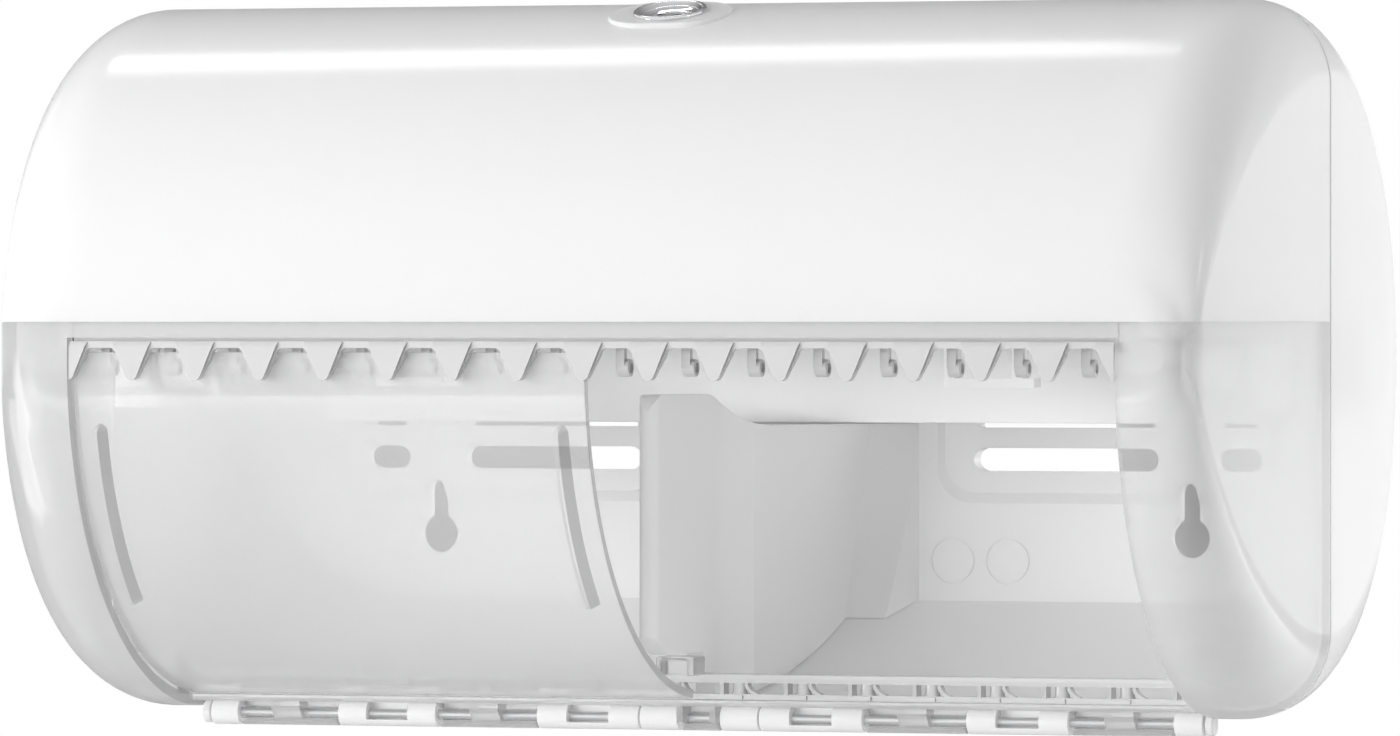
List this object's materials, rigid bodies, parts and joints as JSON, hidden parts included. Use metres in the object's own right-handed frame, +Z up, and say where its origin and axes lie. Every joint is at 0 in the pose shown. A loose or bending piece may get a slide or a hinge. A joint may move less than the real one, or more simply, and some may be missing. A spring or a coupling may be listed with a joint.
{
  "type": "toilet roll dispenser",
  "caption": "Wall dispenser for toilet rolls side by side, with a hinged white and clear cover, a serrated tear bar and a sliding clear door.",
  "frame": {"origin": "centre of the flat face that lies on the wall", "axes": "+X to the right seen from the front, +Y into the wall, +Z up"},
  "size_m": [0.286, 0.153, 0.1615],
  "materials": {
    "shell_white": "gloss",
    "inner_white": "satin",
    "smoke_clear": "clear gloss with a grey tint",
    "chrome": "polished",
    "steel": "zinc plated"
  },
  "bodies": {
    "back": {"back_shell": "shell_white", "centre_divider": "inner_white", "catch_plate": "steel", "hinge_rod": "steel", "rod_cap_left": "shell_white", "rod_cap_right": "shell_white", "hub_bracket_left": "inner_white", "hub_bracket_right": "inner_white", "brake_bracket_left": "inner_white", "brake_bracket_right": "inner_white", "brake_pin_left": "steel", "brake_pin_right": "steel"},
    "cover": {"cover_front": "shell_white", "cover_window": "smoke_clear", "tear_bar": "inner_white", "hook_rail": "inner_white", "bar_end_cap_left": "inner_white", "bar_end_cap_right": "inner_white", "lower_ladder": "smoke_clear", "lock_barrel": "chrome", "lock_nut": "steel"},
    "door": {"sliding_door": "smoke_clear"},
    "lock": {"lock_plug": "chrome", "lock_cam": "steel", "lock_cam_screw": "steel"},
    "hub_left": {"roll_hub_left": "inner_white"},
    "hub_right": {"roll_hub_right": "inner_white"},
    "brake_left": {"brake_loop_left": "inner_white"},
    "brake_right": {"brake_loop_right": "inner_white"}
  },
  "joints": [
    {"name": "cover_hinge", "type": "hinge", "parent": "back", "child": "cover", "pos_m": [0, -0.0738, -0.0793], "axis": [1, 0, 0], "range_deg": [0, 100]},
    {"name": "door_slide", "type": "slide", "parent": "cover", "child": "door", "axis": [1, 0, 0], "range_m": [0, 0.1184]},
    {"name": "lock_turn", "type": "hinge", "parent": "cover", "child": "lock", "pos_m": [0, -0.095, 0.07499], "axis": [0, -0.2686, 0.9632], "range_deg": [0, 90]},
    {"name": "hub_spin_left", "type": "hinge", "parent": "back", "child": "hub_left", "pos_m": [-0.119, -0.074, -0.0018], "axis": [1, 0, 0], "continuous": true},
    {"name": "brake_swing_left", "type": "hinge", "parent": "back", "child": "brake_left", "pos_m": [-0.06499, -0.069, 0.067], "axis": [1, 0, 0], "range_deg": [0, 60]},
    {"name": "hub_spin_right", "type": "hinge", "parent": "back", "child": "hub_right", "pos_m": [0.119, -0.074, -0.0018], "axis": [1, 0, 0], "continuous": true},
    {"name": "brake_swing_right", "type": "hinge", "parent": "back", "child": "brake_right", "pos_m": [0.06499, -0.069, 0.067], "axis": [1, 0, 0], "range_deg": [0, 60]}
  ]
}
